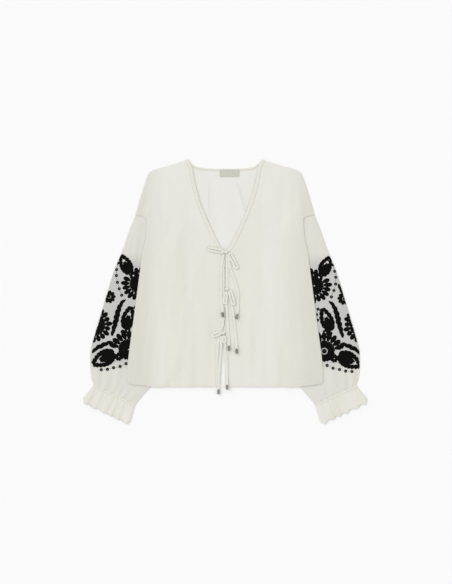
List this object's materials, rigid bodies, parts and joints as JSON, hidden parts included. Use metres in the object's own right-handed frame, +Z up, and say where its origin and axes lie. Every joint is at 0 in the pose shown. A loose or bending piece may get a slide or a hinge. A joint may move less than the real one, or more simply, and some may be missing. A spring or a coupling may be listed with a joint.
{
  "type": "embroidered folk blouse laid flat",
  "caption": "Sheer V-neck blouse laid flat, with balloon sleeves, folk embroidery, ruffled wrists and front ties with metal ends.",
  "frame": {"origin": "on the surface under the middle of the laid-out blouse's outline", "axes": "+X across the blouse to the right of the picture, +Y from hem to neck, +Z up from the surface it lies on"},
  "size_m": [0.7404, 0.6871, 0.0105],
  "materials": {
    "voile": "cream cotton voile, plain weave, slightly sheer",
    "embroidered_voile": "cream cotton voile with raised black satin-stitch embroidery",
    "binding": "cream cotton voile folded in several plies, stitched",
    "label": "plain woven satin tape",
    "tie_cap": "aged silver-toned metal"
  },
  "bodies": {
    "root": {"back": "voile", "front_left": "voile", "front_right": "voile", "sleeve_left": "embroidered_voile", "sleeve_right": "embroidered_voile", "wrist_casing_left": "voile", "wrist_casing_right": "voile", "ruffle_left": "voile", "ruffle_right": "voile", "neck_binding": "binding", "front_binding_left": "binding", "front_binding_right": "binding", "neck_label": "label", "tie_top_knot": "binding", "tie_middle_knot": "binding", "tie_low_knot": "binding", "tie_top_left": "binding", "tie_top_right": "binding", "tie_middle_left": "binding", "tie_middle_right": "binding", "tie_low_left": "binding", "tie_low_right": "binding", "tie_top_loop_left": "binding", "tie_top_loop_right": "binding", "tie_middle_loop_left": "binding", "tie_middle_loop_right": "binding", "tie_low_loop_left": "binding", "tie_low_loop_right": "binding", "tie_top_left_cap": "tie_cap", "tie_top_right_cap": "tie_cap", "tie_middle_left_cap": "tie_cap", "tie_middle_right_cap": "tie_cap", "tie_low_left_cap": "tie_cap", "tie_low_right_cap": "tie_cap"}
  },
  "joints": []
}
